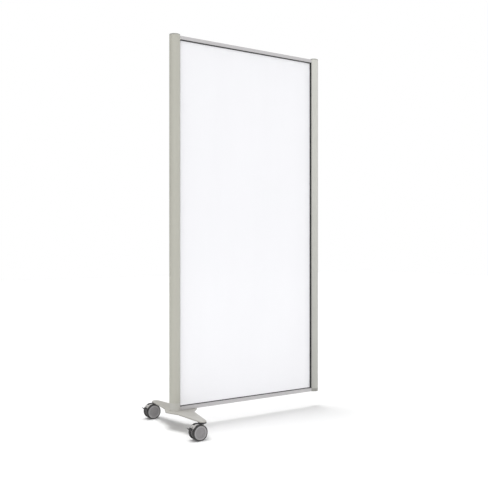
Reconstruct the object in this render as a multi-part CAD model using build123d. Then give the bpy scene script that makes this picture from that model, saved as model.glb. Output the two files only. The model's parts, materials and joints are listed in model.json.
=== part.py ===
from build123d import *
from math import cos, radians, sin, sqrt
import os

# Rolling whiteboard with one cast foot, in millimetres, +Z up.
# The board's plane is X-Z and the foot's arms run along Y. The origin is on the
# floor, below the middle of the whole object's box.

# Frame
POST_PITCH = 860.0            # between the posts' centre lines
POST_R = 26.6
POST_WALL = 2.4
RAIL_BOTTOM = 87.0            # the foot's top face is at the same height
RAIL_HEIGHT = 17.5
RAIL_DEPTH = 28.0
RAIL_WALL = 2.0
RAIL_ROUND = 2.0
FRAME_HEIGHT = 1829.0         # bottom of the bottom rail to top of the top rail
CAP_THICKNESS = 4.5
GROOVE_WIDTH = 1.6            # two fine grooves down each post's outer side
GROOVE_DEPTH = 1.0
GROOVE_TURN = 18.0            # degrees from the side's middle
CAP_ROUND = 1.6
FIT_GAP = 0.2                 # assembly gap around plugs and tenons
PLUG_LENGTH = 26.0
TENON_LENGTH = 45.0

# Board
SKIN = 0.5
CORE = 2.0
LIP_THICKNESS = 0.8
SIDE_BASE = 2.4
SIDE_LIP = 4.2
TOP_BASE = 2.0
TOP_LIP = 3.5
BOTTOM_BASE = 1.5
BOTTOM_LIP = 2.5

# Foot
PLATE = 6.5                   # thickness of the arms
BOSS = 3.5                    # height of the ribs and bosses below the arms
ARM_X = 16.0                  # the arms' round ends, ahead of the left post's centre line
ARM_Y = 242.0                 # centres of the round ends, and the stems in them
TIP_R = 20.0
ARM_ROOT = (73.0, 62.0)       # where an arm's rail-side edge leaves the long point
ARM_HEEL = (-20.0, 72.0)      # where its other edge leaves the short point
LONG_POINT = (118.0, 12.0)    # the point under the rail: its reach and half its width
SHORT_POINT = (48.0, 7.0)     # the same on the other side
FOOT_ROUND = 6.0
HUB_HEIGHT = 40.0             # above the foot's top face
HUB_WALL = 8.0
HUB_WEB = 12.0
RIB = 14.0                    # width of the ribs under the arms
LONG_RIB = 20.0               # the same under the long point
TIP_BOSS_R = 14.0
SEAT_R = 34.0                 # disc under the hub
BOLT_R = 6.0
WASHER_R = 12.0
WASHER = 2.5
BOLT_HEAD = 7.5
POST_PLUG_HEIGHT = 80.0
TOP_LINK_R = 5.1              # link sockets in the right post's ends
BOTTOM_LINK_R = 6.1
LINK_DEPTH = 20.0

# Casters
WHEEL_R = 37.5
CASTER_WIDTH = 50.0
WHEEL_GAP = 18.0              # between the two wheels
HOOD_WIDTH = 17.0
HOOD_R = 35.5
FENDER_R = 40.3               # fender over the treads, behind the stem
FENDER = 2.0
FENDER_WIDTH = 34.0
FENDER_START = 124.0          # degrees up from +X
FENDER_SWEEP = 24.0
TRAIL = 21.5                  # stem to axle
STEM_R = 5.5
STEM_THREAD_R = 5.0
STEM_THREAD = 8.5
STEM_BOTTOM = 38.0
SOCKET_TOP = 73.7
SWIVEL_R = 11.5               # washer between the socket and the foot
SKIRT_R = 20.0                # its skirt, over the wheels and up round the foot's boss
SKIRT = 1.5
CLIP_Z = 43.0
AXLE_R = 4.0
RUNNING_GAP = 0.05
HUB_R = 32.0
RIM = 7.0
DIMPLE_RING = 15.5            # ring of the three dimples in a wheel's cover
DIMPLE_R = 2.6
DIMPLE_TURNS = (-105, -60, -12)
SIDE_CLEAR = 0.4              # a wheel's inner face to its side of the gap
PIN_R = 2.0
PIN_X = -22.0                 # brake pin, from the axle
PIN_Z = 20.0
PIN_EYE_R = 4.5
SLOT = 6.6                    # slot in the hood for the pedal's tongue
TONGUE = 6.0
PEDAL_TIP = 54.0              # the pedal's tip, behind the axle
PAD_ROOT = 39.0               # where the pad starts, behind the axle
PAD_WIDTH = 26.0
PAD_THICKNESS = 2.6
PAD_Z = 15.0                  # the pad's underside at its root, above the axle
PAD_RISE = 6.7                # the pad climbs towards its tip
SHOE_X = -40.5                # round bar that presses on both treads, from the axle
SHOE_Z = 14.0
SHOE_R = 2.2
SHOE_WIDTH = 44.0

# Worked out from the sizes above
REACH_LEFT = PEDAL_TIP + TRAIL - ARM_X
LEFT_X = (REACH_LEFT - POST_PITCH - POST_R) / 2
RIGHT_X = LEFT_X + POST_PITCH
POST_FLAT = sqrt(POST_R**2 - (RAIL_DEPTH / 2) ** 2)
FRAME_TOP = RAIL_BOTTOM + FRAME_HEIGHT
TOP_RAIL_Z = FRAME_TOP - RAIL_HEIGHT
BOTTOM_RAIL_TOP = RAIL_BOTTOM + RAIL_HEIGHT
HUB_TOP = RAIL_BOTTOM + HUB_HEIGHT
PLATE_BOTTOM = RAIL_BOTTOM - PLATE
FOOT_BOTTOM = PLATE_BOTTOM - BOSS
STEM_X = LEFT_X + ARM_X
AXLE_X = STEM_X - TRAIL
BOARD = CORE + 2 * SKIN
CORNER_SCREW_X = (LEFT_X + POST_FLAT + 25, RIGHT_X - POST_FLAT - 25)
RAIL_SCREW_X = (LEFT_X + 50, LEFT_X + 92)
POST_SCREW_Z = (HUB_TOP + 22, HUB_TOP + 58)


def box(x0, x1, y0, y1, z0, z1):
    """A block between two corners."""
    middle = ((x0 + x1) / 2, (y0 + y1) / 2, (z0 + z1) / 2)
    return Pos(*middle) * Box(x1 - x0, y1 - y0, z1 - z0)


def rod_z(x, y, r, z0, z1):
    """An upright round bar."""
    return Pos(x, y, (z0 + z1) / 2) * Cylinder(r, z1 - z0)


def rod_y(x, z, r, y0, y1):
    """A round bar along Y."""
    return Pos(x, (y0 + y1) / 2, z) * Rot(90, 0, 0) * Cylinder(r, y1 - y0)


def rod_x(y, z, r, x0, x1):
    """A round bar along X."""
    return Pos((x0 + x1) / 2, y, z) * Rot(0, 90, 0) * Cylinder(r, x1 - x0)


def prism_y(face, y0, y1):
    """A face drawn in X-Z, drawn out from y0 to y1."""
    return Pos(0, y0, 0) * extrude(face, amount=y1 - y0, dir=(0, 1, 0))


def xz_polygon(*points):
    """A polygon in the X-Z plane."""
    return Plane.XZ * make_face(Polyline(*points, close=True))


def post_section(radius, flat):
    """The posts' round section with its flat towards +X, centred on the origin."""
    half = sqrt(radius**2 - flat**2)
    back = ThreePointArc((flat, half), (-radius, 0), (flat, -half))
    return make_face([back, Line((flat, -half), (flat, half))])


def post_bar(x, side, z0, z1, inset=0.0):
    """A bar of the posts' section, its flat towards side (1 is +X, -1 is -X)."""
    section = post_section(POST_R - inset, POST_FLAT - inset)
    if side < 0:
        section = mirror(section, about=Plane.YZ)
    return Pos(x, 0, z0) * extrude(section, amount=z1 - z0, dir=(0, 0, 1))


def grooves(x, side, z0, z1):
    """The two grooves on a post's outer side."""
    outward = 180 if side > 0 else 0
    cuts = []
    for turn in (-GROOVE_TURN, GROOVE_TURN):
        cut = Pos(POST_R, 0, 0) * Box(2 * GROOVE_DEPTH, GROOVE_WIDTH, z1 - z0)
        cuts.append(Pos(x, 0, (z0 + z1) / 2) * Rot(0, 0, outward + turn) * cut)
    return cuts


def post(x, side, z0, notched_from):
    """A hollow post, notched at its top end for the rail's tenon."""
    tube = post_bar(x, side, z0, FRAME_TOP) - post_bar(x, side, z0, FRAME_TOP, POST_WALL)
    inner, outer = sorted((x + side * (POST_FLAT - POST_WALL - 1), x + side * (POST_FLAT + 1)))
    half = RAIL_DEPTH / 2 - RAIL_WALL
    tube -= box(inner, outer, -half, half, notched_from, FRAME_TOP)
    return tube - grooves(x, side, z0, FRAME_TOP)


def left_post():
    tube = post(LEFT_X, 1, HUB_TOP, TOP_RAIL_Z + RAIL_WALL)
    for z in POST_SCREW_Z:
        tube -= countersink_x(LEFT_X + POST_FLAT, z, 3.1, 5.6)
    return tube


def right_post():
    return post(RIGHT_X, -1, BOTTOM_RAIL_TOP, TOP_RAIL_Z + RAIL_WALL)


def countersink_x(x, z, shank_r, head_r, depth=14.0):
    """A countersunk screw's shape, its head flush with the face at x, pointing to -X."""
    head = head_r - shank_r
    cone = Pos(x - head / 2, 0, z) * Rot(0, 90, 0) * Cone(shank_r, head_r, head)
    return cone + rod_x(0, z, shank_r, x - depth, x)


def countersink_z(x, z, shank_r, head_r, depth, up=1):
    """The same, its head flush with the face at z and facing up (1) or down (-1)."""
    head = head_r - shank_r
    turn = Rot(0, 0, 0) if up > 0 else Rot(180, 0, 0)
    cone = Pos(x, 0, z - up * head / 2) * turn * Cone(shank_r, head_r, head)
    low, high = sorted((z - up * depth, z))
    return cone + rod_z(x, 0, shank_r, low, high)


def rail(z0):
    """A hollow rail between the posts' flats, its long edges rounded."""
    x0 = LEFT_X + POST_FLAT
    x1 = RIGHT_X - POST_FLAT
    half = RAIL_DEPTH / 2
    solid = box(x0, x1, -half, half, z0, z0 + RAIL_HEIGHT)
    solid = fillet(solid.edges().filter_by(Axis.X), RAIL_ROUND)
    inner = half - RAIL_WALL
    return solid - box(x0, x1, -inner, inner, z0 + RAIL_WALL, z0 + RAIL_HEIGHT - RAIL_WALL)


def top_rail():
    solid = rail(TOP_RAIL_Z)
    for x in CORNER_SCREW_X:
        solid -= countersink_z(x, FRAME_TOP, 2.6, 4.6, RAIL_WALL + 1)
    return solid


def bottom_rail():
    solid = rail(RAIL_BOTTOM) - countersink_z(CORNER_SCREW_X[1], RAIL_BOTTOM, 2.6, 4.6, RAIL_WALL + 1, -1)
    for x in RAIL_SCREW_X:
        solid -= rod_z(x, 0, 3.1, RAIL_BOTTOM, RAIL_BOTTOM + RAIL_WALL)
    return solid


def tenon(side, z0, root_x):
    """The block that fills a rail's end; side points from the post to the rail."""
    x0, x1 = sorted((root_x, root_x + side * TENON_LENGTH))
    half = RAIL_DEPTH / 2 - RAIL_WALL - FIT_GAP
    low = z0 + RAIL_WALL + FIT_GAP
    return box(x0, x1, -half, half, low, z0 + RAIL_HEIGHT - RAIL_WALL - FIT_GAP)


def top_corner(x, side, screw_x):
    """Post cap with its plug and the top rail's tenon."""
    cap = post_bar(x, side, FRAME_TOP, FRAME_TOP + CAP_THICKNESS)
    rim = cap.faces().sort_by(Axis.Z)[-1].edges()
    cap = fillet(rim, CAP_ROUND)
    plug = post_bar(x, side, FRAME_TOP - PLUG_LENGTH, FRAME_TOP, POST_WALL + FIT_GAP)
    arm = tenon(side, TOP_RAIL_Z, x + side * (POST_FLAT - POST_WALL - 2))
    solid = cap + plug + arm
    return solid - rod_z(screw_x, 0, 2.1, TOP_RAIL_Z, FRAME_TOP)


def left_top_corner():
    return top_corner(LEFT_X, 1, CORNER_SCREW_X[0])


def right_top_corner():
    solid = top_corner(RIGHT_X, -1, CORNER_SCREW_X[1])
    top = FRAME_TOP + CAP_THICKNESS
    return solid - rod_z(RIGHT_X, 0, TOP_LINK_R, top - LINK_DEPTH, top)


def right_bottom_corner():
    """End band of the right post, as tall as the rail, with its plug and tenon."""
    band = post_bar(RIGHT_X, -1, RAIL_BOTTOM, BOTTOM_RAIL_TOP)
    band = fillet(band.faces().sort_by(Axis.Z)[0].edges(), CAP_ROUND)
    plug = post_bar(RIGHT_X, -1, BOTTOM_RAIL_TOP, BOTTOM_RAIL_TOP + PLUG_LENGTH, POST_WALL + FIT_GAP)
    solid = band + plug + tenon(-1, RAIL_BOTTOM, RIGHT_X - POST_FLAT)
    solid -= rod_z(CORNER_SCREW_X[1], 0, 2.1, RAIL_BOTTOM, BOTTOM_RAIL_TOP)
    return solid - rod_z(RIGHT_X, 0, BOTTOM_LINK_R, RAIL_BOTTOM, RAIL_BOTTOM + LINK_DEPTH)


def corner_screws():
    """Countersunk screws that lock the tenons: two on top, one below."""
    screws = [countersink_z(x, FRAME_TOP, 2.0, 4.1, 12) for x in CORNER_SCREW_X]
    screws.append(countersink_z(CORNER_SCREW_X[1], RAIL_BOTTOM, 2.0, 4.1, 12, -1))
    return Compound(children=screws)


def sheet(y0, y1):
    """One full-size layer of the board."""
    x0 = LEFT_X + POST_FLAT + SIDE_BASE
    x1 = RIGHT_X - POST_FLAT - SIDE_BASE
    return box(x0, x1, y0, y1, BOTTOM_RAIL_TOP + BOTTOM_BASE, TOP_RAIL_Z - TOP_BASE)


def front_writing_sheet():
    return sheet(-BOARD / 2, -CORE / 2)


def board_core():
    return sheet(-CORE / 2, CORE / 2)


def rear_writing_sheet():
    return sheet(CORE / 2, BOARD / 2)


def side_gasket(x, side):
    """Black strip over a post's flat, with two lips that grip the board's edge."""
    face = x + side * POST_FLAT
    base = face + side * SIDE_BASE
    tip = base + side * SIDE_LIP
    half = RAIL_DEPTH / 2 - 0.2
    grip = BOARD / 2 + LIP_THICKNESS
    z0, z1 = BOTTOM_RAIL_TOP, TOP_RAIL_Z
    strip = box(*sorted((face, base)), -half, half, z0, z1)
    lips = box(*sorted((base, tip)), -grip, grip, z0, z1)
    slot_z0, slot_z1 = z0 + BOTTOM_BASE, z1 - TOP_BASE
    slot = box(*sorted((base, tip)), -BOARD / 2, BOARD / 2, slot_z0, slot_z1)
    return strip + lips - slot


def flat_gasket(z, up, base, lip, half):
    """A strip on a rail's face at z, with two lips that grip the board's edge."""
    x0 = LEFT_X + POST_FLAT + SIDE_BASE + SIDE_LIP
    x1 = RIGHT_X - POST_FLAT - SIDE_BASE - SIDE_LIP
    grip = BOARD / 2 + LIP_THICKNESS
    strip = box(x0, x1, -half, half, *sorted((z, z + up * base)))
    lips = box(x0, x1, -grip, grip, *sorted((z + up * base, z + up * (base + lip))))
    slot = box(x0, x1, -BOARD / 2, BOARD / 2, *sorted((z + up * base, z + up * (base + lip))))
    return strip + lips - slot


def top_gasket():
    return flat_gasket(TOP_RAIL_Z, -1, TOP_BASE, TOP_LIP, RAIL_DEPTH / 2 - RAIL_ROUND)


def bottom_gasket():
    return flat_gasket(BOTTOM_RAIL_TOP, 1, BOTTOM_BASE, BOTTOM_LIP, BOARD / 2 + LIP_THICKNESS)


def foot_outline():
    """Plan of the foot about the left post's centre line: two tapered arms and two points."""
    rail_side, far_side = radians(11), radians(5)
    right_tip = (ARM_X + TIP_R * cos(rail_side), ARM_Y + TIP_R * sin(rail_side))
    left_tip = (ARM_X - TIP_R * cos(far_side), ARM_Y + TIP_R * sin(far_side))
    short_reach, short_half = SHORT_POINT
    upper = [
        Line(LONG_POINT, ARM_ROOT),
        Line(ARM_ROOT, right_tip),
        ThreePointArc(right_tip, (ARM_X, ARM_Y + TIP_R), left_tip),
        Line(left_tip, ARM_HEEL),
        Line(ARM_HEEL, (-short_reach, short_half)),
    ]
    lower = [mirror(edge, about=Plane.XZ) for edge in upper]
    long_reach, long_half = LONG_POINT
    ends = [
        Line((long_reach, -long_half), (long_reach, long_half)),
        Line((-short_reach, -short_half), (-short_reach, short_half)),
    ]
    face = make_face(upper + lower + ends)
    corners = face.vertices().filter_by(lambda corner: abs(corner.Y) < ARM_Y / 2)
    return fillet(corners, FOOT_ROUND)


def foot_ribs():
    """Ribs and bosses under the plate."""
    z0, z1 = FOOT_BOTTOM, PLATE_BOTTOM
    ribs = rod_z(LEFT_X, 0, SEAT_R, z0, z1)
    ribs += box(LEFT_X, LEFT_X + LONG_POINT[0] - 10, -LONG_RIB / 2, LONG_RIB / 2, z0, z1)
    ribs += box(STEM_X - RIB / 2, STEM_X + RIB / 2, -ARM_Y, ARM_Y, z0, z1)
    for y in (-ARM_Y, ARM_Y):
        ribs += rod_z(STEM_X, y, TIP_BOSS_R, z0, z1)
    return ribs


def foot_casting():
    """Cast foot: two arms, hub for the post, tenon for the rail and caster bosses."""
    plate = Pos(LEFT_X, 0, PLATE_BOTTOM) * extrude(foot_outline(), amount=PLATE, dir=(0, 0, 1))
    plate = fillet(plate.faces().sort_by(Axis.Z)[-1].edges(), 3)
    hub = post_bar(LEFT_X, 1, RAIL_BOTTOM - 1, HUB_TOP) - grooves(LEFT_X, 1, RAIL_BOTTOM, HUB_TOP)
    solid = plate + foot_ribs() + hub + tenon(1, RAIL_BOTTOM, LEFT_X + POST_FLAT - 1)
    solid -= rod_z(LEFT_X, 0, POST_R - HUB_WALL, FOOT_BOTTOM, HUB_TOP - HUB_WEB)
    solid -= rod_z(LEFT_X, 0, BOLT_R + 0.5, FOOT_BOTTOM, HUB_TOP)
    for y in (-ARM_Y, ARM_Y):
        solid -= rod_z(STEM_X, y, STEM_THREAD_R, FOOT_BOTTOM, FOOT_BOTTOM + STEM_THREAD)
    for x in RAIL_SCREW_X:
        solid -= rod_z(x, 0, 3.1, FOOT_BOTTOM, BOTTOM_RAIL_TOP)
        solid -= rod_z(x, 0, 5.6, FOOT_BOTTOM, FOOT_BOTTOM + 5)
    return solid


def post_plug():
    """Block inside the left post, tapped from below for the foot bolt."""
    plug = post_bar(LEFT_X, 1, HUB_TOP, HUB_TOP + POST_PLUG_HEIGHT, POST_WALL + FIT_GAP)
    plug -= rod_z(LEFT_X, 0, BOLT_R, HUB_TOP, HUB_TOP + 34)
    for z in POST_SCREW_Z:
        plug -= countersink_x(LEFT_X + POST_FLAT, z, 3.0, 5.5)
    return plug


def post_screws():
    screws = [countersink_x(LEFT_X + POST_FLAT, z, 3.0, 5.5) for z in POST_SCREW_Z]
    return Compound(children=screws)


def hexagon_bolt(x, z_head, head, shank_r, across, z_end):
    """A bolt with a six-sided head below z_head and its shank up to z_end."""
    six = extrude(RegularPolygon(across / 2, 6, major_radius=False), amount=head)
    shank = rod_z(x, 0, shank_r, z_head, z_end)
    shank = chamfer(shank.faces().sort_by(Axis.Z)[-1].edges(), 1)
    return Pos(x, 0, z_head - head) * six + shank


def foot_bolt():
    return hexagon_bolt(LEFT_X, HUB_TOP - HUB_WEB - WASHER, BOLT_HEAD, BOLT_R, 18, HUB_TOP + 30)


def foot_washer():
    z = HUB_TOP - HUB_WEB - WASHER
    return rod_z(LEFT_X, 0, WASHER_R, z, z + WASHER) - rod_z(LEFT_X, 0, BOLT_R + 0.3, z, z + WASHER)


def rail_screws():
    """Two pan-head screws up through the foot's long point into the bottom rail."""
    screws = []
    for x in RAIL_SCREW_X:
        head = rod_z(x, 0, 5.0, FOOT_BOTTOM + 1.5, FOOT_BOTTOM + 5)
        head = fillet(head.faces().sort_by(Axis.Z)[0].edges(), 1.2)
        screws.append(head + rod_z(x, 0, 3.0, FOOT_BOTTOM + 5, RAIL_BOTTOM + 12))
    return Compound(children=screws)


# Each caster is drawn for its own place: y is the middle between its two wheels.


def stem(y):
    """Turned stem: thread in the foot, smooth journal below, groove for the clip."""
    journal = rod_z(STEM_X, y, STEM_R, STEM_BOTTOM, FOOT_BOTTOM)
    journal = chamfer(journal.faces().sort_by(Axis.Z)[0].edges(), 1)
    groove = rod_z(STEM_X, y, STEM_R + 1, CLIP_Z, CLIP_Z + 1.2) - rod_z(STEM_X, y, 4.6, CLIP_Z, CLIP_Z + 1.2)
    return journal - groove + rod_z(STEM_X, y, STEM_THREAD_R, FOOT_BOTTOM, FOOT_BOTTOM + STEM_THREAD - 1)


def swivel_washer(y):
    """Moulded washer; its skirt is notched for the rib that runs to the foot's boss."""
    z0 = SOCKET_TOP + 0.3
    skirt_z = FOOT_BOTTOM - SKIRT
    ring = rod_z(STEM_X, y, SWIVEL_R, z0, FOOT_BOTTOM)
    ring += rod_z(STEM_X, y, SKIRT_R, skirt_z, PLATE_BOTTOM - 0.2)
    ring -= rod_z(STEM_X, y, TIP_BOSS_R + FIT_GAP, FOOT_BOTTOM, PLATE_BOTTOM)
    half = RIB / 2 + FIT_GAP
    ring -= box(STEM_X - half, STEM_X + half, *sorted((y, 0)), FOOT_BOTTOM, PLATE_BOTTOM)
    return ring - rod_z(STEM_X, y, STEM_R, z0, FOOT_BOTTOM)


def stem_clip(y):
    """Snap ring in the stem's groove, open on one side."""
    z0, z1 = CLIP_Z, CLIP_Z + 1.2
    ring = rod_z(STEM_X, y, 7.0, z0, z1) - rod_z(STEM_X, y, 4.6, z0, z1)
    return ring - box(STEM_X, STEM_X + 8, y - 2.5, y + 2.5, z0, z1)


def sector(y, inner, outer, width):
    """The fender's share of a ring about the axle."""
    section = make_face(Polyline((inner, -width / 2), (outer, -width / 2), (outer, width / 2),
                                 (inner, width / 2), close=True))
    share = revolve(section, Axis.Y, FENDER_SWEEP)
    return Pos(AXLE_X, y, WHEEL_R) * Rot(0, -FENDER_START - FENDER_SWEEP, 0) * share


def caster_hood(y):
    """Fender between the wheels, with the stem's socket, the axle's bore and the pedal's slot."""
    half = HOOD_WIDTH / 2
    z = WHEEL_R
    body = rod_y(AXLE_X, z, HOOD_R, y - half, y + half)
    body = fillet(body.edges().filter_by(GeomType.CIRCLE), 1.5)
    body -= box(AXLE_X - 40, AXLE_X + 40, y - 10, y + 10, z - 40, z - 12)
    body -= box(AXLE_X - 40, AXLE_X - 14, y - 10, y + 10, z - 12, z + 6)
    body += rod_z(STEM_X, y, half, z, SOCKET_TOP)
    body += sector(y, FENDER_R - FENDER, FENDER_R, FENDER_WIDTH) + sector(y, 30, FENDER_R - 1, HOOD_WIDTH)
    body -= rod_z(STEM_X, y, STEM_R + RUNNING_GAP, z - 12, SOCKET_TOP)
    body -= rod_z(STEM_X, y, 7.4, z - 12, CLIP_Z + 1.5)
    body -= rod_y(AXLE_X, z, AXLE_R, y - half, y + half)
    body -= box(AXLE_X - 42, AXLE_X - 13, y - SLOT / 2, y + SLOT / 2, z + 2, z + 28)
    return body - rod_y(AXLE_X + PIN_X, z + PIN_Z, PIN_R, y - half, y + half)


def axle(y):
    bar = rod_y(AXLE_X, WHEEL_R, AXLE_R, y - 21.4, y + 21.4)
    return chamfer(bar.edges().filter_by(GeomType.CIRCLE), 0.6)


def axle_clips(y):
    """Push-on clips that keep the wheels on the axle."""
    clips = []
    for side in (-1, 1):
        y0, y1 = sorted((y + side * 19.8, y + side * 20.8))
        clips.append(rod_y(AXLE_X, WHEEL_R, 8.0, y0, y1) - rod_y(AXLE_X, WHEEL_R, AXLE_R, y0, y1))
    return Compound(children=clips)


def brake_pin(y):
    return rod_y(AXLE_X + PIN_X, WHEEL_R + PIN_Z, PIN_R, y - 8, y + 8)


def turned(points, y, side):
    """A ring turned about the axle; points are (radius, distance from the caster's middle)."""
    face = make_face(Polyline(*[(AXLE_X + r, y + side * d) for r, d in points], close=True))
    return Pos(0, 0, WHEEL_R) * revolve(face, Axis((AXLE_X, y, 0), (0, 1, 0)), 360)


def wheel_hub(y, side):
    """Nylon hub: bored boss, web and rim."""
    inner = WHEEL_GAP / 2
    outer = CASTER_WIDTH / 2
    bore = AXLE_R + RUNNING_GAP
    rim = HUB_R - RIM
    outline = [
        (bore, inner), (9.5, inner), (9.5, 14), (rim, 14), (rim, inner + SIDE_CLEAR),
        (HUB_R, inner + SIDE_CLEAR), (HUB_R, outer - 0.9), (HUB_R - 0.9, outer),
        (rim + 0.7, outer), (rim, outer - 0.7), (rim, 18), (9.5, 18), (9.5, 19.5), (bore, 19.5),
    ]
    return turned(outline, y, side)


def wheel_tyre(y, side):
    """Tread with round shoulders."""
    inner = WHEEL_GAP / 2 + SIDE_CLEAR
    outer = CASTER_WIDTH / 2 - 0.6
    ring = turned([(HUB_R, inner), (WHEEL_R, inner), (WHEEL_R, outer), (HUB_R, outer)], y, side)
    edges = ring.edges().filter_by(GeomType.CIRCLE).filter_by(lambda e: e.radius > HUB_R + 1)
    return fillet(edges, 4)


def wheel_cover(y, side):
    """Dished cover snapped inside the rim."""
    outer = CASTER_WIDTH / 2
    rim = HUB_R - RIM - 0.1
    outline = [
        (0, outer - 3.2), (rim, outer - 3.2), (rim, outer - 1.0), (rim - 1.2, outer - 1.0),
        (rim - 2.4, outer - 1.9), (7.5, outer - 1.5), (6.3, outer - 0.8), (0, outer - 0.6),
    ]
    disc = turned(outline, y, side)
    for turn in DIMPLE_TURNS:
        x = AXLE_X + DIMPLE_RING * cos(radians(turn))
        z = WHEEL_R + DIMPLE_RING * sin(radians(turn))
        y0, y1 = sorted((y + side * (outer - 2.2), y + side * outer))
        disc -= rod_y(x, z, DIMPLE_R, y0, y1)
    return disc


def brake_pedal(y):
    """Tongue on the brake pin, foot pad behind the wheels and a bar across both treads."""
    x, z = AXLE_X, WHEEL_R
    pin_x, pin_z = x + PIN_X, z + PIN_Z
    tongue = xz_polygon(
        (pin_x, pin_z + PIN_EYE_R), (pin_x, pin_z - PIN_EYE_R), (x + SHOE_X, z + SHOE_Z - SHOE_R),
        (x + SHOE_X - SHOE_R, z + SHOE_Z), (x - PAD_ROOT, z + PAD_Z + PAD_THICKNESS),
    )
    body = prism_y(tongue, y - TONGUE / 2, y + TONGUE / 2)
    body += rod_y(pin_x, pin_z, PIN_EYE_R, y - TONGUE / 2, y + TONGUE / 2)
    root, tip = z + PAD_Z, z + PAD_Z + PAD_RISE
    slab = xz_polygon(
        (x - PAD_ROOT, root), (x - PAD_ROOT, root + PAD_THICKNESS),
        (x - PEDAL_TIP, tip + PAD_THICKNESS), (x - PEDAL_TIP, tip),
    )
    pad = prism_y(slab, y - PAD_WIDTH / 2, y + PAD_WIDTH / 2)
    pad = fillet(pad.faces().sort_by(Axis.X)[0].edges().filter_by(Axis.Z), 4)
    shoe = rod_y(x + SHOE_X, z + SHOE_Z, SHOE_R, y - SHOE_WIDTH / 2, y + SHOE_WIDTH / 2)
    gap = PIN_R + RUNNING_GAP
    return body + pad + shoe - rod_y(pin_x, pin_z, gap, y - TONGUE / 2, y + TONGUE / 2)


def caster_parts(name, y):
    """Every piece of one caster, by node name."""
    parts = {
        f"{name}_stem": stem(y),
        f"{name}_swivel_washer": swivel_washer(y),
        f"{name}_stem_clip": stem_clip(y),
        f"{name}_caster_hood": caster_hood(y),
        f"{name}_axle": axle(y),
        f"{name}_axle_clips": axle_clips(y),
        f"{name}_brake_pin": brake_pin(y),
        f"{name}_brake_pedal": brake_pedal(y),
    }
    for place, side in (("near", -1), ("far", 1)):
        parts[f"{name}_{place}_hub"] = wheel_hub(y, side)
        parts[f"{name}_{place}_tyre"] = wheel_tyre(y, side)
        parts[f"{name}_{place}_cover"] = wheel_cover(y, side)
    return parts


FRAME_PARTS = [
    left_post, right_post, top_rail, bottom_rail, left_top_corner, right_top_corner,
    right_bottom_corner, corner_screws, front_writing_sheet, board_core, rear_writing_sheet,
    top_gasket, bottom_gasket, foot_casting, post_plug, post_screws, foot_bolt, foot_washer,
    rail_screws,
]


def whole_part():
    """Every node of the object, by name."""
    parts = {make.__name__: make() for make in FRAME_PARTS}
    parts["left_gasket"] = side_gasket(LEFT_X, 1)
    parts["right_gasket"] = side_gasket(RIGHT_X, -1)
    parts.update(caster_parts("front", -ARM_Y))
    parts.update(caster_parts("rear", ARM_Y))
    return parts


os.makedirs("parts", exist_ok=True)
for node, shape in whole_part().items():
    export_step(shape, f"parts/{node}.step")
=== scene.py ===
import json
import math

import bmesh
import bpy
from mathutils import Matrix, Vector


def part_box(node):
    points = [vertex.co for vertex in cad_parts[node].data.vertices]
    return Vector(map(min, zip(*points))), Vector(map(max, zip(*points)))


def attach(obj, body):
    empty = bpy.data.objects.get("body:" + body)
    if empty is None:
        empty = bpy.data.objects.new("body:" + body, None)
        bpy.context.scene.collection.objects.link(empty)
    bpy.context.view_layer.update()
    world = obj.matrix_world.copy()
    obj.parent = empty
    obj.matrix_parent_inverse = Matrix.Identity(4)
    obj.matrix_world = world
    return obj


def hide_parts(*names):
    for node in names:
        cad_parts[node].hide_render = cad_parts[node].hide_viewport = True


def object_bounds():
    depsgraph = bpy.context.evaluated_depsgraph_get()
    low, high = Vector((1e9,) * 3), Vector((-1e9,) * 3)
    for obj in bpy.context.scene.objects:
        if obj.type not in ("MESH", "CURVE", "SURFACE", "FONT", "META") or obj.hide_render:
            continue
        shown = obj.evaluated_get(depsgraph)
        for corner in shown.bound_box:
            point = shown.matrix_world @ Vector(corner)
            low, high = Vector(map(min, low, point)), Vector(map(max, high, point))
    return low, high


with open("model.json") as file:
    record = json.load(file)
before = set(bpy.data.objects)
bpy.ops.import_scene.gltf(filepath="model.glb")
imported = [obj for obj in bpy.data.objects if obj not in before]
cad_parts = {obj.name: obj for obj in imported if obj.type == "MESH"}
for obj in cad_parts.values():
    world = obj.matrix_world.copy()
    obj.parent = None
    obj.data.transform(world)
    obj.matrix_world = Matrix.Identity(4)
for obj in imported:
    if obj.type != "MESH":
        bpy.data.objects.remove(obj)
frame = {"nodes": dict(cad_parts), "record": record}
CAD_LOW, CAD_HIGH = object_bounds()
NODES = frame["nodes"]

# Places read from the frame, in metres
LEFT_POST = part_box("left_post")
POST_R = (LEFT_POST[1].y - LEFT_POST[0].y) / 2
LEFT_X = LEFT_POST[0].x + POST_R
RIGHT_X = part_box("right_post")[1].x - POST_R

# Camera, from the left post's foot on the floor
CAMERA_OFFSET = Vector((-1.5844, -3.0543, 0.899))
CAMERA_BEARING = math.radians(33.05)      # turned from +Y towards +X
LENS = 51.8
SENSOR = 36.0

# Mesh work
WELD = 0.000002                           # points nearer than this become one
ON_PLANE = 0.00002                        # a point this near to a plane belongs to it
SHARP = math.radians(30)                  # an edge above this turn keeps its crease
FLAT = math.radians(1)                    # faces below this turn become one
FINE_VOXEL, FINE_ROUNDS = 0.0005, 3       # softening of the small mouldings
HOOD_VOXEL, HOOD_ROUNDS = 0.0006, 4
FOOT_VOXEL, FOOT_ROUNDS = 0.0014, 5

# Posts and gaskets
OUTLINE_STEPS = 640
GROOVE_DEPTH = 0.001                      # two grooves down each post's outer side
GROOVE_HALF = 0.0008
GROOVE_WALL = (0.7, 1.1)                  # shares of its half width between which a groove's wall slopes
GROOVE_TURN = math.radians(18)
POST_CHAMFER = 0.0003
LIP_EDGE = 0.0003                         # rounding of the gaskets' edges
BASE_TRIM = 0.0019                        # how far the side gaskets' strips lie below their nominal face
SIDE_TRIM = 0.0034                        # how far a gasket's lips end short of their nominal edge
TOP_TRIM = 0.0022                         # how far the top gasket ends above its nominal lower edge

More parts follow.
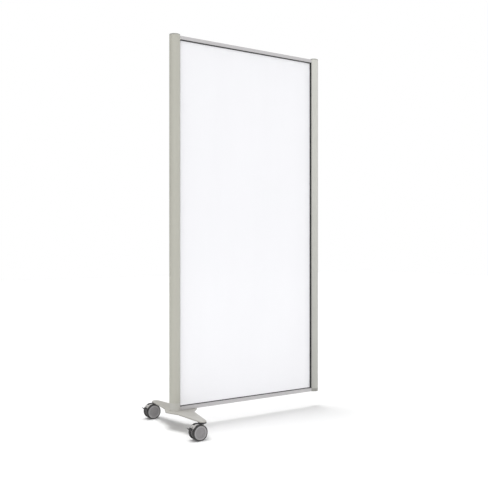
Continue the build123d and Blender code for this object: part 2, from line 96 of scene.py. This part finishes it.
# Foot: the hollow curve round its hub
FLARE = 0.0035
FLARE_SINK = 0.0003                       # how far the curve starts inside the hub's wall
FLARE_OPENING = math.radians(42)          # half of the gap left for the rail
FLARE_STEPS = 10
FLARE_SEGMENTS = 72

# Pedals
PAD_SLOPE = 6.7 / 15.0                    # rise over run
PAD_TIP = 0.0002                          # the pad's tip below the pedal's highest point
RIDGES = 5
RIDGE_START = 0.0022                      # from the pad's tip to the first ridge
RIDGE_PITCH = 0.0021
RIDGE_HALF_WIDTH = 0.0005
RIDGE_HALF_LENGTH = 0.0108
RIDGE_HEIGHT = 0.0005
RIDGE_ROOT = 0.001                        # how far a ridge reaches into the pad

# Wheels; shares count from the caster's side of a wheel to its outer face
TURNED_SEGMENTS = 144
CORNER_SHARE = 0.45                       # a corner's rounding takes no more than this share of an edge
CORNER_STEPS = 5
TYRE_ROUND = 0.0003                       # rounding of a corner that states none
HUB_ROUND = 0.0004
SHOULDER_ROUND = 0.004
SHOULDER_DROP = 0.0002                    # how far the tread's shoulders lie below its middle
TREAD_GROOVES = (0.36, 0.64)              # shares
TREAD_GROOVE_HALF = (0.0006, 0.0003)      # at its mouth and at its floor
TREAD_GROOVE_ROUND = (0.0002, 0.0001)     # the same
TREAD_GROOVE_DEPTH = 0.0007
WALL_LINE = (0.0045, 0.0050, 0.0055)      # a fine line in the tyre's wall, below the tread
WALL_LINE_ROUND = (0.0005, 0.0002)        # at its mouth and at its floor
WALL_LINE_DEPTH = 0.0005
WALL_DROP = 0.0001                        # how far the line's mouth lies below the wall
HUB_BORE = 0.00405
HUB_BOSS = 0.0095
HUB_RIM_GAP = 0.0001
HUB_INNER_ROUND = 0.0015                  # where the web meets boss and rim on the caster's side
HUB_OUTER_ROUND = 0.001                   # and on the outer side
HUB_RIM_ROUND = 0.0009
HUB_BACK, HUB_WEB_IN, HUB_WEB_OUT, HUB_BOSS_END = 0.03, 0.31, 0.56, 0.65    # shares
COVER_SEGMENTS = 180
COVER_RINGS = 60
COVER_EDGE = (0.0030, 0.0012)             # from the cover's rim to the ends of its raised edge's slope
COVER_EDGE_DEPTH = 0.0004
COVER_BOSS = (0.0062, 0.0078)             # radii between which the raised centre slopes
COVER_BOWL = 0.0013
COVER_CROWN = 0.0005
PINHOLE = 0.00002                         # radius that stands for a disc's centre
DIMPLES = (-105, -60, -12)                # places of the dimples in a wheel's cover, in degrees
DIMPLE_RING = 0.0155
DIMPLE_R = 0.0029
DIMPLE_FLAT = 0.6                         # share of a dimple's radius that is flat
DIMPLE_DEPTH = 0.0010

# Paint
SHELTER = 0.12                            # reach of the shade that a taller part throws
# The band of paler enamel next to the frame is painted light against the frame's shade.
BOARD_EDGE = 0.03                         # width of the paler enamel next to the frame

# Floor and light
FLOOR_TONE = 0.90
FLOOR_SIZE = 14.0
FLOOR_CELLS = 8
SKY_FRONT = 0.92
SKY_BEHIND = 0.30
SKY_BEARING = math.radians(14)            # the sky is brightest towards -Y, turned this much to -X


def srgb(red, green, blue):
    """Linear colour of a screen colour given in 0-255."""
    def linear(value):
        value /= 255
        return value / 12.92 if value <= 0.04045 else ((value + 0.055) / 1.055) ** 2.4
    return (linear(red), linear(green), linear(blue), 1.0)


def smooth_step(low, high, value):
    """0 below low, 1 above high, with a soft start and end."""
    t = min(max((value - low) / (high - low), 0), 1)
    return t * t * (3 - 2 * t)


# ---------------------------------------------------------------- materials

class Shader:
    """A small builder for node materials."""

    def __init__(self, name):
        self.material = bpy.data.materials.new(name)
        self.material.use_nodes = True
        self.tree = self.material.node_tree
        self.tree.nodes.clear()
        self.out = self.node("ShaderNodeOutputMaterial")
        self.surface = self.node("ShaderNodeBsdfPrincipled")
        self.link(self.surface.outputs[0], self.out.inputs["Surface"])
        self.place = self.node("ShaderNodeTexCoord").outputs["Object"]

    def node(self, kind, **settings):
        """A new node with some of its settings."""
        made = self.tree.nodes.new(kind)
        for key, value in settings.items():
            setattr(made, key, value)
        return made

    def link(self, output, socket):
        self.tree.links.new(output, socket)

    def set(self, **values):
        """Fixed values of the surface; an underscore stands for a blank."""
        for key, value in values.items():
            self.surface.inputs[key.replace("_", " ")].default_value = value

    def stretched(self, scale):
        """The object's coordinates, stretched by a vector."""
        mapping = self.node("ShaderNodeMapping")
        mapping.inputs["Scale"].default_value = scale
        self.link(self.place, mapping.inputs["Vector"])
        return mapping.outputs[0]

    def noise(self, scale, detail, rough=0.55, vector=None):
        """Cloudy noise of about 0.3 to 0.7 over the object."""
        made = self.node("ShaderNodeTexNoise")
        made.inputs["Scale"].default_value = scale
        made.inputs["Detail"].default_value = detail
        made.inputs["Roughness"].default_value = rough
        self.link(vector or self.place, made.inputs["Vector"])
        return made.outputs["Fac"]

    def span(self, value, low, high, start=0.3, end=0.7):
        """Maps start..end of a value to low..high."""
        made = self.node("ShaderNodeMapRange")
        self.link(value, made.inputs["Value"])
        for key, number in (("From Min", start), ("From Max", end), ("To Min", low), ("To Max", high)):
            made.inputs[key].default_value = number
        return made.outputs[0]

    def mix(self, factor, first, second):
        """first where factor is 0, second where it is 1."""
        made = self.node("ShaderNodeMix", data_type="RGBA")
        sockets = {"Factor": made.inputs[0], "A": made.inputs[6], "B": made.inputs[7]}
        for key, value in (("Factor", factor), ("A", first), ("B", second)):
            if isinstance(value, bpy.types.NodeSocket):
                self.link(value, sockets[key])
            else:
                sockets[key].default_value = value
        return made.outputs[2]

    def bump(self, height, distance, strength, onto=None):
        """A surface direction from a height, on top of another one."""
        made = self.node("ShaderNodeBump")
        made.inputs["Strength"].default_value = strength
        made.inputs["Distance"].default_value = distance
        self.link(height, made.inputs["Height"])
        if onto is not None:
            self.link(onto, made.inputs["Normal"])
        return made.outputs[0]

    def crevice(self, distance):
        """1 on open surfaces, towards 0 in corners."""
        made = self.node("ShaderNodeAmbientOcclusion", samples=6)
        made.inputs["Distance"].default_value = distance
        return made.outputs["AO"]

    def axis(self, vector, name):
        """One coordinate of a vector."""
        split = self.node("ShaderNodeSeparateXYZ")
        self.link(vector, split.inputs[0])
        return split.outputs[name]

    def facing(self, name):
        """How far a face looks along an axis, 1 to -1."""
        return self.axis(self.node("ShaderNodeNewGeometry").outputs["Normal"], name)

    def scaled(self, colour, factor):
        """A colour times a factor."""
        made = self.node("ShaderNodeVectorMath", operation="SCALE")
        self.link(colour, made.inputs[0])
        self.link(factor, made.inputs["Scale"])
        return made.outputs[0]

    def finish(self, colour, roughness, normal):
        """Links the surface's inputs and gives the material."""
        for key, value in (("Base Color", colour), ("Roughness", roughness), ("Normal", normal)):
            self.link(value, self.surface.inputs[key])
        return self.material


def tinted(colour, factor):
    """A fixed colour times a factor."""
    return (colour[0] * factor, colour[1] * factor, colour[2] * factor, 1.0)


def powder_coat(name, colour, rough=0.42, grain=1400.0, relief=0.00004, corner_shade=0.85, reach=0.005,
                side=1.0, shade_lift=1.0, foot=1.0, head=1.0, east_shade=1.0):
    """Sprayed paint: orange peel, slow tone drift, and painted light and shade.

    The corner tone is painted shade in corners within reach; side is painted shade on upright faces;
    the lift tone paints open faces next to taller parts lighter, against the shade those parts throw;
    foot and head paint shade and light at the object's bottom and top; the +X tone is painted shade
    on faces towards +X.
    """
    s = Shader(name)
    drift = s.span(s.noise(scale=2.2, detail=2.0), low=0.0, high=1.0)
    body = s.mix(drift, tinted(colour, 0.975), tinted(colour, 1.02))
    speck = s.span(s.noise(scale=grain * 0.8, detail=2.0), low=0.0, high=1.0, start=0.35, end=0.65)
    body = s.mix(speck, body, s.mix(0.5, body, tinted(colour, 1.05)))
    # Painted light and shade: a height gradient, painted shade towards +X, on upright faces and in corners,
    # and painted light on open faces in the shade of taller parts.
    tones = [
        s.span(s.axis(s.place, "Z"), low=foot, high=head, start=CAD_LOW.z, end=CAD_HIGH.z),
        s.span(s.facing("X"), low=1.0, high=east_shade, start=0.1, end=0.8),
        s.span(s.facing("Z"), low=side, high=1.0, start=0.35, end=0.85),
        s.span(s.crevice(SHELTER), low=shade_lift, high=1.0, start=0.5, end=0.98),
        s.span(s.crevice(reach), low=corner_shade, high=1.0, start=0.15, end=0.75),
    ]
    for tone in tones:
        body = s.scaled(body, tone)
    peel = s.noise(scale=grain, detail=2.0)
    wave = s.noise(scale=grain * 0.12, detail=2.0)
    normal = s.bump(peel, distance=relief, strength=0.6)
    normal = s.bump(wave, distance=relief * 2.5, strength=0.35, onto=normal)
    shine = s.span(s.noise(scale=35.0, detail=4.0), low=rough - 0.06, high=rough + 0.07)
    s.set(Coat_Weight=0.12, Coat_Roughness=0.3)
    return s.finish(body, shine, normal)


def enamel(name, colour):
    """Glassy white enamel: long soft waves, faint wiped haze and dull smears, and painted light next to the
    frame, where the frame's shade falls.
    """
    s = Shader(name)
    sweep = s.noise(scale=1.0, detail=4.0, rough=0.6, vector=s.stretched((5.0, 5.0, 1.1)))
    haze = s.span(sweep, low=0.0, high=1.0, start=0.38, end=0.68)
    body = s.mix(haze, colour, tinted(colour, 0.985))
    # Painted light: the enamel is whitened where the frame shades it, to cancel that shade.
    open_face = s.span(s.crevice(BOARD_EDGE), low=0.0, high=1.0, start=0.4, end=0.95)
    body = s.mix(open_face, srgb(252, 252, 255), body)
    wipe = s.noise(scale=1.0, detail=3.0, rough=0.6, vector=s.stretched((2.0, 2.0, 22.0)))
    shine = s.span(wipe, low=0.16, high=0.26, start=0.35, end=0.7)
    wave = s.noise(scale=14.0, detail=1.0)
    peel = s.noise(scale=420.0, detail=2.0)
    normal = s.bump(wave, distance=0.0006, strength=0.10)
    normal = s.bump(peel, distance=0.00002, strength=0.35, onto=normal)
    s.set(Coat_Weight=0.35, Coat_Roughness=0.08)
    return s.finish(body, shine, normal)


def rubber(name, colour, rough=0.6, line_scale=(900.0, 900.0, 3.0), dust=0.15):
    """Extruded or moulded rubber: fine draw lines, mottling and light dust."""
    s = Shader(name)
    lines = s.noise(scale=1.0, detail=2.0, rough=0.5, vector=s.stretched(line_scale))
    mottle = s.span(s.noise(scale=60.0, detail=5.0), low=0.0, high=1.0)
    pale = s.mix(dust, colour, srgb(150, 148, 142))
    body = s.mix(mottle, colour, pale)
    normal = s.bump(lines, distance=0.00005, strength=0.5)
    normal = s.bump(s.noise(scale=900.0, detail=3.0), distance=0.00004, strength=0.4, onto=normal)
    shine = s.span(s.noise(scale=90.0, detail=3.0), low=rough - 0.08, high=rough + 0.12)
    return s.finish(body, shine, normal)


def moulded(name, colour, rough=0.48, grain=1800.0, relief=0.00005, scuff=0.5, corner=0.006):
    """Moulded nylon: spark-eroded texture, cloudy tone, small bright scuffs, and darker in corners."""
    s = Shader(name)
    cloud = s.span(s.noise(scale=28.0, detail=3.0), low=0.0, high=1.0)
    body = s.mix(cloud, tinted(colour, 0.93), tinted(colour, 1.05))
    scratches = s.noise(scale=240.0, detail=6.0, rough=0.7)
    marks = s.span(scratches, low=0.0, high=scuff, start=0.62, end=0.78)
    body = s.mix(marks, body, tinted(colour, 1.25))
    unoccluded = s.span(s.crevice(corner), low=0.0, high=1.0, start=0.1, end=0.8)
    body = s.mix(unoccluded, tinted(colour, 0.62), body)
    normal = s.bump(s.noise(scale=grain, detail=2.0), distance=relief, strength=0.55)
    shine = s.span(s.noise(scale=70.0, detail=3.0), low=rough - 0.07, high=rough + 0.1)
    return s.finish(body, shine, normal)


def metal(name, colour, rough=0.32, line_scale=(60.0, 60.0, 1500.0)):
    """Plated or machined metal with fine tool lines and cloudy plating."""
    s = Shader(name)
    lines = s.noise(scale=1.0, detail=2.0, rough=0.5, vector=s.stretched(line_scale))
    cloud = s.span(s.noise(scale=90.0, detail=4.0), low=0.0, high=1.0)
    body = s.mix(cloud, tinted(colour, 0.88), tinted(colour, 1.06))
    normal = s.bump(lines, distance=0.00004, strength=0.4)
    shine = s.span(s.noise(scale=300.0, detail=4.0), low=rough - 0.08, high=rough + 0.12)
    s.set(Metallic=1.0)
    return s.finish(body, shine, normal)


FINISHES = {
    # The post paint is painted a little darker towards the bottom: painted shade.
    "post_paint": powder_coat("post_paint", srgb(178, 177, 167), foot=0.97),
    # The right post's paint is a lit copy of the post paint: painted light towards the top, painted shade
    # towards the bottom and on its flank towards +X.
    "right_post_lit_paint": powder_coat("right_post_lit_paint", srgb(180, 180, 174), foot=0.90, head=1.27, east_shade=0.80),
    "rail_paint": powder_coat("rail_paint", srgb(187, 185, 186), grain=1700.0),
    "cap_plastic": moulded("cap_plastic", srgb(148, 148, 142)),
    "writing_enamel": enamel("writing_enamel", srgb(240, 240, 243)),
    "board_core": moulded("board_core", srgb(220, 217, 210)),
    "gasket_rubber": rubber("gasket_rubber", srgb(30, 31, 34)),
    # The foot's paint carries painted shade on upright faces and in its creases, and painted light on open
    # faces in the shade of the board.
    "foot_paint": powder_coat("foot_paint", srgb(169, 167, 161), grain=950.0, relief=0.00006, corner_shade=0.62,
                              reach=0.006, side=0.80, shade_lift=1.25),
    # The hub's paint is a paler copy of the foot's paint: painted light on the hub where the board shades it,
    # with lighter painted shade in its corners.
    "foot_hub": powder_coat("foot_hub", srgb(176, 175, 169), grain=950.0, relief=0.00006, corner_shade=0.9,
                            reach=0.003, shade_lift=1.2),
    "plug_aluminium": metal("plug_aluminium", srgb(200, 200, 202)),
    "zinc_steel": metal("zinc_steel", srgb(186, 186, 184)),
    "hood_plastic": moulded("hood_plastic", srgb(174, 172, 170)),
    "hub_plastic": moulded("hub_plastic", srgb(150, 148, 149)),
    "cover_plastic": moulded("cover_plastic", srgb(131, 129, 130)),
    "tyre_rubber": rubber("tyre_rubber", srgb(27, 27, 29), line_scale=(500.0, 30.0, 500.0), dust=0.10),
    "pedal_plastic": moulded("pedal_plastic", srgb(56, 55, 57)),
}


def wear(obj, finish):
    """Gives an object one finish in every material slot."""
    if not obj.data.materials:
        obj.data.materials.append(FINISHES[finish])
    for index in range(len(obj.data.materials)):
        obj.data.materials[index] = FINISHES[finish]


SLOT_OF = {entry["node"]: entry["material_slot"] for entry in frame["record"]["subparts"]}
BODIES = frame["record"]["behaviour"]["bodies"]
BODY_OF = {node: body for body, nodes in BODIES.items() for node in nodes}
for node, obj in NODES.items():
    wear(obj, SLOT_OF[node])


# ---------------------------------------------------------------- pieces made as meshes

def stand_for(node, mesh, label="_made", creased=False):
    """Shows a mesh, given in the frame's coordinates, in place of a CAD node."""
    mesh.name = node + label
    mesh.materials.clear()
    for face in mesh.polygons:
        face.use_smooth = True
    if creased:
        mesh.set_sharp_from_angle(angle=SHARP)
    made = bpy.data.objects.new(node + label, mesh)
    bpy.context.scene.collection.objects.link(made)
    wear(made, SLOT_OF[node])
    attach(made, BODY_OF[node])
    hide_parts(node)
    return made


def node_bmesh(node):
    """A welded copy of a CAD node in the frame's coordinates."""
    source = NODES[node]
    made = bmesh.new()
    made.from_mesh(source.data)
    made.transform(source.matrix_world)
    bmesh.ops.remove_doubles(made, verts=made.verts, dist=WELD)
    return made


def soften(made, voxel, rounds):
    """Merges overlapping solids in a bmesh and rounds every edge and corner, as a casting's are."""
    mesh = bpy.data.meshes.new("rough")
    made.to_mesh(mesh)
    made.free()
    rough = bpy.data.objects.new("rough", mesh)
    bpy.context.scene.collection.objects.link(rough)
    remesh = rough.modifiers.new("remesh", "REMESH")
    remesh.mode = "VOXEL"
    remesh.voxel_size = voxel
    smooth = rough.modifiers.new("smooth", "SMOOTH")
    smooth.factor = 0.5
    smooth.iterations = rounds
    bpy.context.view_layer.update()
    result = bpy.data.meshes.new_from_object(rough.evaluated_get(bpy.context.evaluated_depsgraph_get()))
    bpy.data.objects.remove(rough)
    return result


def add_block(made, low, high):
    """Adds a block between two corners."""
    corners = []
    for index in range(8):
        pick = (index & 1, index >> 1 & 1, index >> 2)
        corners.append(made.verts.new([(low, high)[side][axis] for axis, side in enumerate(pick)]))
    for ring in ((0, 2, 3, 1), (4, 5, 7, 6), (0, 1, 5, 4), (2, 6, 7, 3), (0, 4, 6, 2), (1, 3, 7, 5)):
        made.faces.new([corners[index] for index in ring])


def add_sweep(made, profile, place, angles, closed):
    """Adds a solid swept from a closed profile; place(point, angle) puts a profile point in space."""
    rings = [[made.verts.new(place(point, angle)) for point in profile] for angle in angles]
    pairs = list(zip(rings, rings[1:] + rings[:1])) if closed else list(zip(rings, rings[1:]))
    count = len(profile)
    for ring, following in pairs:
        for index in range(count):
            other = (index + 1) % count
            made.faces.new((ring[index], ring[other], following[other], following[index]))
    if not closed:
        made.faces.new(rings[0][::-1])
        made.faces.new(rings[-1])


def as_mesh(made, name):
    """Turns a finished bmesh into a mesh with its faces outwards."""
    bmesh.ops.recalc_face_normals(made, faces=made.faces)
    mesh = bpy.data.meshes.new(name)
    made.to_mesh(mesh)
    made.free()
    return mesh


def post_outline(side, flat):
    """Plan of a post about its centre: round, a flat towards side (1 is +X) and two grooves opposite it."""
    start = math.acos(flat / POST_R)
    wall_low, wall_high = [GROOVE_HALF * share for share in GROOVE_WALL]
    outline = []
    for step in range(OUTLINE_STEPS + 1):
        angle = start + 2 * (math.pi - start) * step / OUTLINE_STEPS
        off = min(abs(angle - math.pi - turn) for turn in (-GROOVE_TURN, GROOVE_TURN)) * POST_R
        r = POST_R - GROOVE_DEPTH * (1 - smooth_step(wall_low, wall_high, off))
        outline.append((side * r * math.cos(angle), r * math.sin(angle)))
    return outline


def upright(outline, x, z0, z1, chamfer):
    """A bar with that plan about (x, 0), with chamfered ends."""
    rings = [(z0, chamfer), (z0 + chamfer, 0), (z1 - chamfer, 0), (z1, chamfer)]
    made = bmesh.new()

    def place(point, ring):
        share = 1 - ring[1] / POST_R
        return (x + point[0] * share, point[1] * share, ring[0])

    add_sweep(made, outline, place, rings, False)
    return made


def make_post(node, x, side):
    """A post as one smooth extrusion."""
    low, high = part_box(node)
    flat = (high.x if side > 0 else -low.x) + (-x if side > 0 else x)
    made = upright(post_outline(side, flat), x, low.z, high.z, POST_CHAMFER)
    return stand_for(node, as_mesh(made, node), creased=True)


def make_gasket(node, trims):
    """A gasket with soft edges; trims are (axis, level, shift) moves of its planes."""
    made = node_bmesh(node)
    for axis, level, shift in trims:
        for vertex in made.verts:
            if abs(vertex.co[axis] - level) < ON_PLANE:
                vertex.co[axis] += shift
    bmesh.ops.dissolve_limit(made, angle_limit=FLAT, verts=made.verts, edges=made.edges)
    edges = [edge for edge in made.edges if edge.calc_face_angle(0) > SHARP]
    bmesh.ops.bevel(made, geom=edges, offset=LIP_EDGE, segments=2, profile=0.5, affect="EDGES",
                    clamp_overlap=True)
    stand_for(node, as_mesh(made, node), creased=True)


def make_foot_hub():
    """The foot's hub above its flare, with the post's grooves running on down it."""
    flat = LEFT_POST[1].x - LEFT_X
    z0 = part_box("bottom_rail")[0].z + FLARE / 3
    made = upright(post_outline(1, flat), LEFT_X, z0, LEFT_POST[0].z, POST_CHAMFER)
    hub = stand_for("foot_casting", as_mesh(made, "hub"), "_hub", creased=True)
    wear(hub, "foot_hub")


def add_flare(made, x, z, radius):
    """Adds the hollow curve that leads from the foot's face at z up into its hub, open towards the rail."""
    root = radius - FLARE / 2
    centre_r, centre_z = radius + FLARE, z + FLARE
    profile = [(root, z - FLARE / 4), (centre_r, z - FLARE / 4)]
    for step in range(FLARE_STEPS + 1):
        angle = math.pi * (1.5 - 0.5 * step / FLARE_STEPS)
        profile.append((centre_r + FLARE * math.cos(angle), centre_z + FLARE * math.sin(angle)))
    profile.append((root, centre_z))
    span = 2 * math.pi - 2 * FLARE_OPENING
    angles = [FLARE_OPENING + span * step / FLARE_SEGMENTS for step in range(FLARE_SEGMENTS + 1)]

    def place(point, angle):
        return (x + point[0] * math.cos(angle), point[0] * math.sin(angle), point[1])

    add_sweep(made, profile, place, angles, False)


def make_foot():
    """The foot as a casting: rounded edges and a hollow curve round the hub."""
    made = node_bmesh("foot_casting")
    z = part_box("bottom_rail")[0].z
    add_flare(made, LEFT_X, z, POST_R - FLARE_SINK)
    bmesh.ops.recalc_face_normals(made, faces=made.faces)
    stand_for("foot_casting", soften(made, FOOT_VOXEL, FOOT_ROUNDS))


def make_hood(name):
    """A caster's hood with softened edges."""
    made = node_bmesh(name + "_caster_hood")
    stand_for(name + "_caster_hood", soften(made, HOOD_VOXEL, HOOD_ROUNDS))


def make_pedal(name):
    """The pedal with grip ridges across its pad."""
    node = name + "_brake_pedal"
    low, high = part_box(node)
    made = node_bmesh(node)
    middle = (low.y + high.y) / 2
    for ridge in range(RIDGES):
        x = low.x + RIDGE_START + RIDGE_PITCH * ridge
        z = high.z - PAD_TIP - PAD_SLOPE * (x - low.x)
        add_block(made, (x - RIDGE_HALF_WIDTH, middle - RIDGE_HALF_LENGTH, z - RIDGE_ROOT),
                  (x + RIDGE_HALF_WIDTH, middle + RIDGE_HALF_LENGTH, z + RIDGE_HEIGHT))
    bmesh.ops.recalc_face_normals(made, faces=made.faces)
    stand_for(node, soften(made, FINE_VOXEL, FINE_ROUNDS))


def wheel_frame(node):
    """(centre, outer radius, inner y, outer y) of a wheel's piece; outer is away from the caster."""
    low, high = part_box(node)
    centre = (low + high) / 2
    near = "near" in node
    return centre, (high.x - low.x) / 2, *((high.y, low.y) if near else (low.y, high.y))


def turned_piece(node, profile, segments=TURNED_SEGMENTS, dent=None):
    """A ring or disc about a wheel's axle from (radius, y) points.

    dent(radius, angle) is a depth; it applies to points that carry True as a third value.
    """
    centre = wheel_frame(node)[0]
    outward = -1 if "near" in node else 1
    made = bmesh.new()

    def place(point, angle):
        depth = dent(point[0], angle) if dent and point[2] else 0
        return (centre.x + point[0] * math.cos(angle), point[1] - outward * depth,
                centre.z + point[0] * math.sin(angle))

    points = [point if len(point) == 3 else (*point, False) for point in profile]
    angles = [2 * math.pi * step / segments for step in range(segments)]
    add_sweep(made, points, place, angles, True)
    stand_for(node, as_mesh(made, node))


def rounded(points, radius):
    """A closed profile with its corners rounded; each corner may carry its own radius as a third number."""
    result = []
    count = len(points)
    for index, point in enumerate(points):
        corner = Vector(point[:2])
        before = Vector(points[index - 1][:2]) - corner
        after = Vector(points[(index + 1) % count][:2]) - corner
        wanted = point[2] if len(point) > 2 else radius
        reach = min(wanted, before.length * CORNER_SHARE, after.length * CORNER_SHARE)
        start, end = corner + before.normalized() * reach, corner + after.normalized() * reach
        for step in range(CORNER_STEPS + 1):
            t = step / CORNER_STEPS
            result.append(tuple(start * (1 - t) ** 2 + corner * 2 * t * (1 - t) + end * t ** 2))
    return result


def make_tyre(name, hub_r):
    """Tread with soft shoulders and two fine grooves, and a line round the outer wall."""
    _, radius, inner, outer = wheel_frame(name + "_tyre")
    out = math.copysign(1, outer - inner)
    width = abs(outer - inner)
    shoulder_r = radius - SHOULDER_DROP
    profile = [(hub_r, inner), (shoulder_r, inner, SHOULDER_ROUND)]
    floor_r = radius - TREAD_GROOVE_DEPTH
    mouth, floor = TREAD_GROOVE_HALF
    mouth_round, floor_round = TREAD_GROOVE_ROUND
    for share in TREAD_GROOVES:
        middle = inner + out * width * share
        profile += [(radius, middle - out * mouth, mouth_round),
                    (floor_r, middle - out * floor, floor_round),
                    (floor_r, middle + out * floor, floor_round),
                    (radius, middle + out * mouth, mouth_round)]
    start, deep, end = [radius - below for below in WALL_LINE]
    mouth_round, floor_round = WALL_LINE_ROUND
    profile += [(shoulder_r, outer, SHOULDER_ROUND),
                (start, outer - out * WALL_DROP, mouth_round),
                (deep, outer - out * WALL_LINE_DEPTH, floor_round),
                (end, outer - out * WALL_DROP, mouth_round),
                (hub_r, outer)]
    turned_piece(name + "_tyre", rounded(profile, TYRE_ROUND))


def make_hub(name, cover_r):
    """Nylon hub: bored boss, web and a wide rim rolled at its edges."""
    _, radius, inner, outer = wheel_frame(name + "_hub")
    back, web_in, web_out, boss_end = [
        inner + (outer - inner) * share for share in (HUB_BACK, HUB_WEB_IN, HUB_WEB_OUT, HUB_BOSS_END)]
    rim = cover_r + HUB_RIM_GAP
    profile = [(HUB_BORE, inner), (HUB_BOSS, inner),
               (HUB_BOSS, web_in, HUB_INNER_ROUND), (rim, web_in, HUB_INNER_ROUND),
               (rim, back), (radius, back),
               (radius, outer, HUB_RIM_ROUND), (rim, outer, HUB_RIM_ROUND),
               (rim, web_out, HUB_OUTER_ROUND), (HUB_BOSS, web_out, HUB_OUTER_ROUND),
               (HUB_BOSS, boss_end), (HUB_BORE, boss_end)]
    turned_piece(name + "_hub", rounded(profile, HUB_ROUND))


def make_cover(name, radius):
    """Dished cover with a raised centre and three small dimples."""
    node = name + "_cover"
    _, _, inner, outer = wheel_frame(node)
    out = math.copysign(1, outer - inner)
    dimples = [math.radians(turn) for turn in DIMPLES]

    def depth_at(r):
        """How far the face lies below the cover's highest point."""
        edge = smooth_step(radius - COVER_EDGE[0], radius - COVER_EDGE[1], r)
        boss = 1 - smooth_step(*COVER_BOSS, r)
        bowl = COVER_BOWL - COVER_CROWN * (1 - (r / radius) ** 2)
        return bowl * (1 - edge) * (1 - boss) + COVER_EDGE_DEPTH * edge

    def dent(r, angle):
        """Depth of a dimple at a place on the face."""
        deep = 0
        for turn in dimples:
            gap = math.hypot(r * math.cos(angle) - DIMPLE_RING * math.cos(turn),
                             r * math.sin(angle) - DIMPLE_RING * math.sin(turn))
            deep = max(deep, DIMPLE_DEPTH * (1 - smooth_step(DIMPLE_R * DIMPLE_FLAT, DIMPLE_R, gap)))
        return deep

    face = []
    for ring in range(COVER_RINGS + 1):
        r = radius - (radius - PINHOLE) * ring / COVER_RINGS
        face.append((r, outer - out * depth_at(r), True))
    profile = [(PINHOLE, inner), (radius, inner)] + face
    turned_piece(node, profile, COVER_SEGMENTS, dent)


make_post("left_post", LEFT_X, 1)
# The right post wears the lit copy of the post paint: painted light and shade.
wear(make_post("right_post", RIGHT_X, -1), "right_post_lit_paint")
top_low, top_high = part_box("top_gasket")
sheet_low, sheet_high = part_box("front_writing_sheet")
between = [(0, top_low.x, -SIDE_TRIM), (0, top_high.x, SIDE_TRIM)]
make_gasket("left_gasket", [(0, sheet_low.x, -BASE_TRIM), (0, top_low.x, -SIDE_TRIM)])
make_gasket("right_gasket", [(0, sheet_high.x, BASE_TRIM), (0, top_high.x, SIDE_TRIM)])
make_gasket("top_gasket", between + [(2, top_low.z, TOP_TRIM)])
make_gasket("bottom_gasket", between)
make_foot()
make_foot_hub()
for end in ("front", "rear"):
    washer = end + "_swivel_washer"
    stand_for(washer, soften(node_bmesh(washer), FINE_VOXEL, FINE_ROUNDS))
    make_hood(end)
    make_pedal(end)
    for place in ("near", "far"):
        wheel = f"{end}_{place}"
        cover_r = wheel_frame(wheel + "_cover")[1]
        make_tyre(wheel, wheel_frame(wheel + "_hub")[1])
        make_hub(wheel, cover_r)
        make_cover(wheel, cover_r)


# ---------------------------------------------------------------- stage, light, camera

def floor_material():
    """Pale matte floor."""
    s = Shader("floor_pale")
    s.set(Roughness=0.9, Specular_IOR_Level=0.2)
    s.surface.inputs["Base Color"].default_value = (FLOOR_TONE, FLOOR_TONE, FLOOR_TONE, 1)
    return s.material


def add_floor():
    """A wide flat floor."""
    made = bmesh.new()
    bmesh.ops.create_grid(made, x_segments=FLOOR_CELLS, y_segments=FLOOR_CELLS, size=FLOOR_SIZE)
    mesh = bpy.data.meshes.new("floor")
    made.to_mesh(mesh)
    made.free()
    floor = bpy.data.objects.new("floor", mesh)
    mesh.materials.append(floor_material())
    bpy.context.scene.collection.objects.link(floor)


def add_sun(name, direction, spread, power):
    """A distant soft light shining along a direction; spread is its angle in degrees."""
    data = bpy.data.lights.new(name, "SUN")
    data.angle = math.radians(spread)
    data.energy = power
    lamp = bpy.data.objects.new(name, data)
    lamp.rotation_mode = "QUATERNION"
    lamp.rotation_quaternion = Vector(direction).to_track_quat("-Z", "Y")
    bpy.context.scene.collection.objects.link(lamp)


def add_world():
    """White to the camera; to everything else brighter in front of the object than behind it."""
    world = bpy.data.worlds.new("studio")
    world.use_nodes = True
    tree = world.node_tree
    tree.nodes.clear()
    out = tree.nodes.new("ShaderNodeOutputWorld")
    background = tree.nodes.new("ShaderNodeBackground")
    background.inputs["Color"].default_value = (1, 1, 1, 1)
    place = tree.nodes.new("ShaderNodeTexCoord")
    toward = tree.nodes.new("ShaderNodeVectorMath")
    toward.operation = "DOT_PRODUCT"
    toward.inputs[1].default_value = (-math.sin(SKY_BEARING), -math.cos(SKY_BEARING), 0)
    glow = tree.nodes.new("ShaderNodeMapRange")
    for key, number in (("From Min", -1), ("From Max", 1), ("To Min", SKY_BEHIND), ("To Max", SKY_FRONT)):
        glow.inputs[key].default_value = number
    path = tree.nodes.new("ShaderNodeLightPath")
    pick = tree.nodes.new("ShaderNodeMix")
    pick.inputs[3].default_value = 1.0
    links = tree.links
    links.new(place.outputs["Generated"], toward.inputs[0])
    links.new(toward.outputs["Value"], glow.inputs["Value"])
    links.new(path.outputs["Is Camera Ray"], pick.inputs[0])
    links.new(glow.outputs[0], pick.inputs[2])
    links.new(pick.outputs[0], background.inputs["Strength"])
    links.new(background.outputs[0], out.inputs["Surface"])
    bpy.context.scene.world = world


def add_camera():
    """The photograph's camera."""
    data = bpy.data.cameras.new("camera")
    data.lens = LENS
    data.sensor_width = SENSOR
    camera = bpy.data.objects.new("camera", data)
    camera.location = Vector((LEFT_X, 0, 0)) + CAMERA_OFFSET
    camera.rotation_euler = (math.pi / 2, 0, -CAMERA_BEARING)
    bpy.context.scene.collection.objects.link(camera)
    bpy.context.scene.camera = camera


add_floor()
add_world()
add_sun("overhead", (0.15, -0.12, -1.0), spread=32, power=2.0)
add_sun("fill", (0.35, 0.85, -0.35), spread=60, power=0.35)
add_sun("side", (-1.0, 0.25, -0.35), spread=50, power=0.30)
add_camera()
bpy.context.scene.view_settings.view_transform = "Standard"
